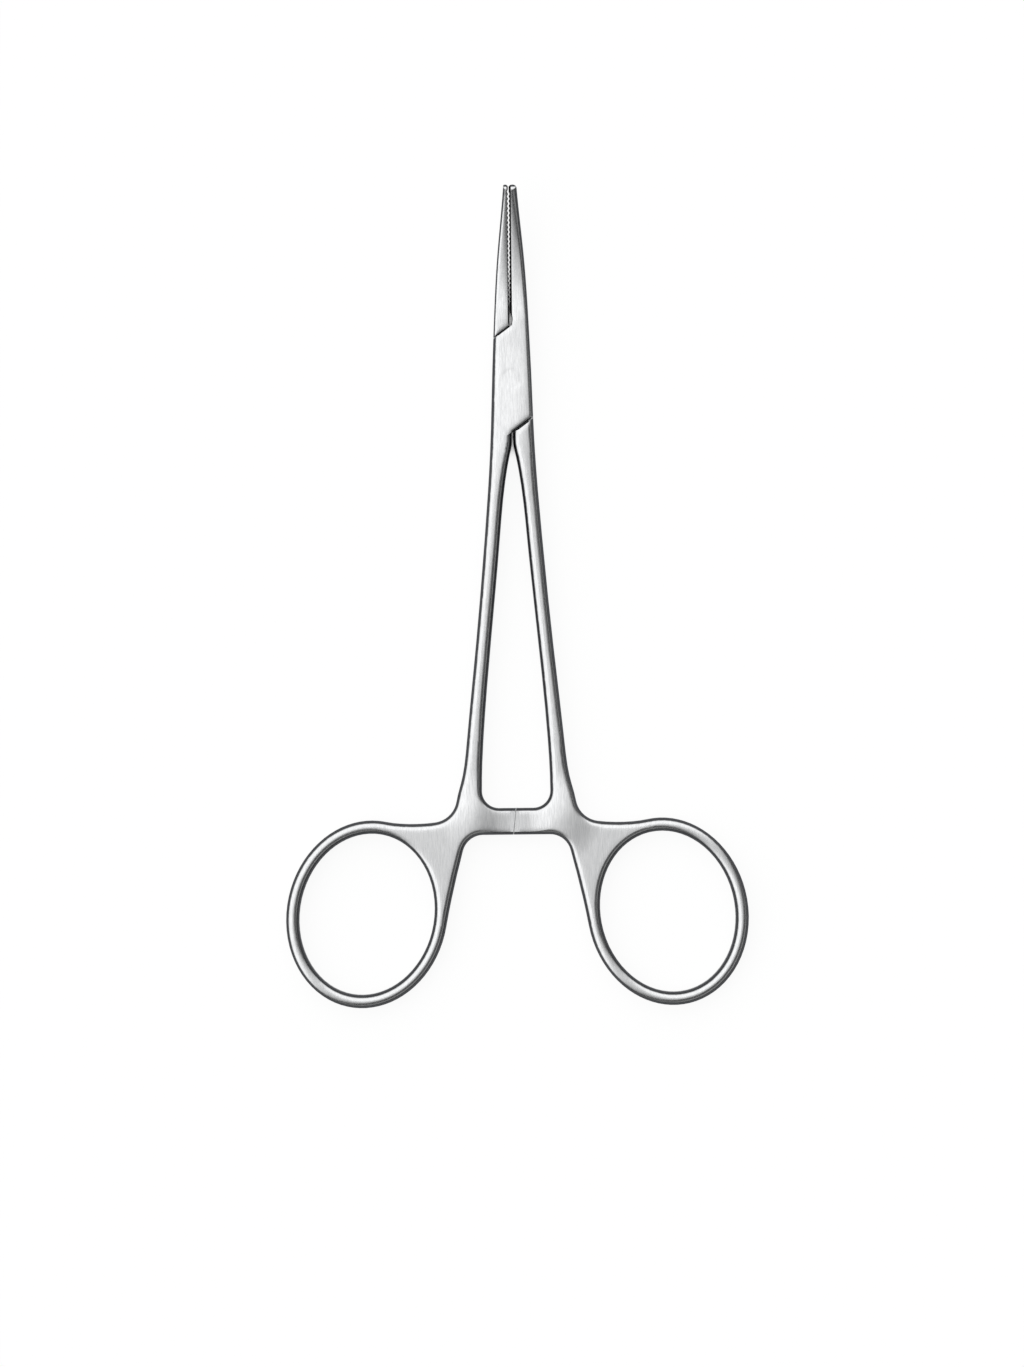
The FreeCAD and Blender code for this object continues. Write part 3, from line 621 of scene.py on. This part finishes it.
def satin_steel(name, steel):
    """The brushed steel of one piece."""
    material = bpy.data.materials.new(name)
    material.use_nodes = True
    tree = material.node_tree
    shader = tree.nodes["Principled BSDF"]
    shader.inputs["Metallic"].default_value = 1.0
    shader.inputs["Specular Tint"].default_value = RIM_TINT
    where = add_node(tree, "ShaderNodeTexCoord", (-1500, 0))
    point, facing = where.outputs["Object"], where.outputs["Normal"]

    grain = place_group(
        tree,
        brush_grain_group(),
        (-1200, 200),
        vector=point,
        width=steel.grain_width,
        length=steel.grain_length,
        haze_scale=190.0,
    )
    worn = add_worn_share(tree, point, steel)
    edge = place_group(
        tree,
        edge_break_group(),
        (-1200, -100),
        radius=add_math(tree, "MULTIPLY", (-1400, -700), worn, steel.edge_break),
        crown=steel.crown,
        share=add_math(tree, "MULTIPLY", (-1400, -900), worn, steel.crown_share),
    )
    side = place_group(tree, side_shade_group(), (-1200, -400), normal=facing, wall=0.45)
    shade = place_group(
        tree,
        jaw_shade_group(),
        (-1200, 500),
        vector=point,
        normal=facing,
        parting=steel.parting,
        half_width=steel.parting_width / 2,
        root=steel.jaw_root,
    )

    ridge = add_ramp(tree, (-900, 200), grain.outputs["Height"], 0.25, 0.75)
    colour = add_colour_mix(tree, (-700, 200), ridge, steel.furrow_tone, steel.ground_tone)
    # Painted shade on the rounded edges and side walls.
    colour = add_colour_mix(tree, (-550, 200), side.outputs["Side"], colour, steel.side_shade_tone)
    colour = add_colour_mix(tree, (-400, 200), edge.outputs["Edge"], colour, steel.ground_tone)
    # Painted shade along the parting of the jaws.
    colour = add_colour_mix(tree, (-200, 200), shade.outputs["Shade"], colour, steel.parting_shade_tone)
    tree.links.new(colour, shader.inputs["Base Color"])

    span = steel.satin - steel.polish
    rough = add_math(tree, "MULTIPLY_ADD", (-700, -50), ridge, -span, steel.satin)
    rough = add_math(
        tree, "MULTIPLY_ADD", (-500, -50), grain.outputs["Haze"], HAZE_ROUGHNESS, rough
    )
    rough = add_math(
        tree, "MULTIPLY_ADD", (-300, -50), shade.outputs["Shade"], SHADE_ROUGHNESS, rough
    )
    tree.links.new(rough, shader.inputs["Roughness"])

    bump = add_node(tree, "ShaderNodeBump", (-300, -300), strength=GRAIN_STRENGTH)
    bump.inputs["Distance"].default_value = steel.grain_depth
    tree.links.new(grain.outputs["Height"], bump.inputs["Height"])
    tree.links.new(add_swells(tree, point, edge.outputs["Normal"]), bump.inputs["Normal"])
    tree.links.new(bump.outputs["Normal"], shader.inputs["Normal"])
    return material


def dress(name, material):
    """Puts a material in every slot of a piece of the frame."""
    for slot in frame["nodes"][name].material_slots:
        slot.material = material


class FORCEPS_OT_halves(bpy.types.Operator):
    """Finishes the two halves: shanks, rings, ratchet plates and jaws."""

    bl_idname = "forceps.halves"
    bl_label = "Finish the halves"

    def execute(self, context):
        steel = context.scene.forceps_steel
        dress("box_half", satin_steel("Box half satin steel", steel))
        dress("tongue_half", satin_steel("Tongue half satin steel", steel))
        return {"FINISHED"}


class FORCEPS_OT_pin(bpy.types.Operator):
    """Finishes the lock pin, whose ends are ground flush with the box."""

    bl_idname = "forceps.pin"
    bl_label = "Finish the lock pin"

    def execute(self, context):
        steel = context.scene.forceps_steel
        dress("lock_pin", satin_steel("Lock pin satin steel", steel))
        return {"FINISHED"}


def add_seen_share(tree, place):
    """1 for what the camera sees directly, mirrored in metal or through glass, and 0 otherwise."""
    path = add_node(tree, "ShaderNodeLightPath", place)
    seen = path.outputs["Is Camera Ray"]
    for kind, drop in (("Is Glossy Ray", 150), ("Is Transmission Ray", 300)):
        seen = add_math(tree, "MAXIMUM", (place[0] + 200, place[1] - drop), seen, path.outputs[kind])
    return seen


def table_material(stage):
    """A matt table top that keeps a soft shadow, partly plain white where it lies open."""
    material = bpy.data.materials.new("Table white")
    material.use_nodes = True
    tree = material.node_tree
    tree.nodes.remove(tree.nodes["Principled BSDF"])
    matt = add_node(tree, "ShaderNodeBsdfDiffuse", (-200, 100))
    feed(tree, matt.inputs["Color"], stage.table_tone)
    white = add_node(tree, "ShaderNodeEmission", (-200, -100))
    # Painted shade: where steel is near, ambient occlusion takes the plain white away, so the slits
    # and the table under the jaws go dark.
    cover = add_node(
        tree, "ShaderNodeAmbientOcclusion", (-700, -300), samples=8, distance=stage.slit_reach
    )
    lies_open = add_ramp(tree, (-500, -300), cover.outputs["AO"], 0.15, 0.5)
    glow = add_math(tree, "MULTIPLY", (-350, -300), lies_open, stage.table_glow)
    share = add_math(tree, "MULTIPLY", (-200, 300), add_seen_share(tree, (-700, 300)), glow)
    mixed = add_node(tree, "ShaderNodeMixShader", (50, 100))
    for slot, value in zip(mixed.inputs, (share, matt.outputs["BSDF"], white.outputs["Emission"])):
        tree.links.new(value, slot)
    tree.links.new(mixed.outputs["Shader"], tree.nodes["Material Output"].inputs["Surface"])
    return material


def studio_world(stage):
    """The studio round the table: a big softbox overhead with a window to the upper left, dark
    walls on the other side with one weak strip, and a pale skyline."""
    world = bpy.data.worlds.new("Studio")
    world.use_nodes = True
    tree = world.node_tree
    ray = add_node(tree, "ShaderNodeTexCoord", (-1600, 0))
    parts = add_node(tree, "ShaderNodeSeparateXYZ", (-1400, 0), vector=ray.outputs["Generated"])
    right, ahead, up = (parts.outputs[axis] for axis in "XYZ")
    away = add_math(tree, "SUBTRACT", (-1200, 100), right, ahead)
    away = add_math(tree, "MULTIPLY", (-1050, 100), away, math.sqrt(0.5))
    lean = add_math(tree, "ARCTAN2", (-900, 100), away, up)
    tilt = add_math(tree, "ARCCOSINE", (-1200, -200), up)

    window = add_ramp(tree, (-700, 400), lean, *WINDOW_LEAN)
    window = add_math(tree, "MULTIPLY", (-500, 400), window, stage.window_level)
    softbox = add_ramp(tree, (-700, 200), lean, *SOFTBOX_LEAN)
    softbox = add_math(tree, "MULTIPLY_ADD", (-400, 200), softbox, stage.softbox_level, window)
    overhead = add_ramp(tree, (-700, 0), tilt, *SOFTBOX_TILT)
    inner = add_ramp(tree, (-700, -200), lean, *STRIP_INNER_LEAN)
    outer = add_ramp(tree, (-700, -400), lean, *STRIP_OUTER_LEAN)
    strip = add_math(tree, "MULTIPLY", (-500, -300), inner, outer)
    skyline = add_ramp(tree, (-700, -600), tilt, *SKYLINE_TILT)

    level = add_math(tree, "MULTIPLY_ADD", (-300, 0), softbox, overhead, stage.shade_level)
    level = add_math(tree, "MULTIPLY_ADD", (-150, 0), strip, stage.strip_level, level)
    level = add_math(tree, "MULTIPLY_ADD", (0, 0), skyline, stage.skyline_level, level)
    background = tree.nodes["Background"]
    background.inputs["Color"].default_value = (1.0, 1.0, 1.0, 1.0)
    tree.links.new(level, background.inputs["Strength"])
    background.location = (150, 0)
    tree.nodes["World Output"].location = (350, 0)
    return world


def add_fill_lamp(stage):
    """A square lamp over the table, which shows in no reflection."""
    data = bpy.data.lights.new("Table fill", "AREA")
    data.size = stage.fill_width
    data.energy = stage.fill_power
    lamp = bpy.data.objects.new("table_fill", data)
    lamp.location = stage.fill_place
    lamp.visible_glossy = False
    bpy.context.scene.collection.objects.link(lamp)


def add_table(stage):
    """The table top, one flat sheet just under the instrument."""
    half = stage.table_width / 2
    corners = [(-half, -half, 0.0), (half, -half, 0.0), (half, half, 0.0), (-half, half, 0.0)]
    mesh = bpy.data.meshes.new("table")
    mesh.from_pydata(corners, [], [(0, 1, 2, 3)])
    mesh.materials.append(table_material(stage))
    table = bpy.data.objects.new("table", mesh)
    table.location.z = cad_box[0].z
    bpy.context.scene.collection.objects.link(table)


def add_camera(stage):
    """The camera, straight above the instrument."""
    data = bpy.data.cameras.new("Camera")
    data.lens = stage.lens
    data.sensor_width = 36.0
    half_field = data.sensor_width / 2 / data.lens
    camera = bpy.data.objects.new("Camera", data)
    camera.location = Vector(stage.view_centre)
    camera.location.z += stage.view_height / 2 / half_field
    camera.rotation_euler = (0.0, 0.0, stage.view_roll)
    data.clip_end = 100.0
    bpy.context.scene.collection.objects.link(camera)
    bpy.context.scene.camera = camera


class FORCEPS_OT_stage(bpy.types.Operator):
    """Builds the table, the studio light and the camera."""

    bl_idname = "forceps.stage"
    bl_label = "Build the stage"

    def execute(self, context):
        stage = context.scene.forceps_stage
        context.scene.view_settings.view_transform = "Standard"
        context.scene.world = studio_world(stage)
        add_table(stage)
        add_fill_lamp(stage)
        add_camera(stage)
        return {"FINISHED"}


class FORCEPS_PT_sidebar(bpy.types.Panel):
    """Lists the steps and their settings."""

    bl_label = "Mosquito forceps"
    bl_idname = "FORCEPS_PT_sidebar"
    bl_space_type = "VIEW_3D"
    bl_region_type = "UI"
    bl_category = "Forceps"

    def draw(self, context):
        layout = self.layout
        for group in (context.scene.forceps_steel, context.scene.forceps_stage):
            box = layout.box()
            for name in group.__annotations__:
                box.prop(group, name)
        for step in STEPS:
            layout.operator(step.bl_idname)


STEPS = (FORCEPS_OT_halves, FORCEPS_OT_pin, FORCEPS_OT_stage)
CLASSES = (ForcepsSteel, ForcepsStage, *STEPS, FORCEPS_PT_sidebar)


def register():
    for cls in CLASSES:
        bpy.utils.register_class(cls)
    bpy.types.Scene.forceps_steel = bpy.props.PointerProperty(type=ForcepsSteel)
    bpy.types.Scene.forceps_stage = bpy.props.PointerProperty(type=ForcepsStage)


def unregister():
    del bpy.types.Scene.forceps_stage
    del bpy.types.Scene.forceps_steel
    for cls in reversed(CLASSES):
        bpy.utils.unregister_class(cls)


def main():
    register()
    bpy.ops.forceps.halves()
    bpy.ops.forceps.pin()
    bpy.ops.forceps.stage()


if __name__ == "__main__":
    main()
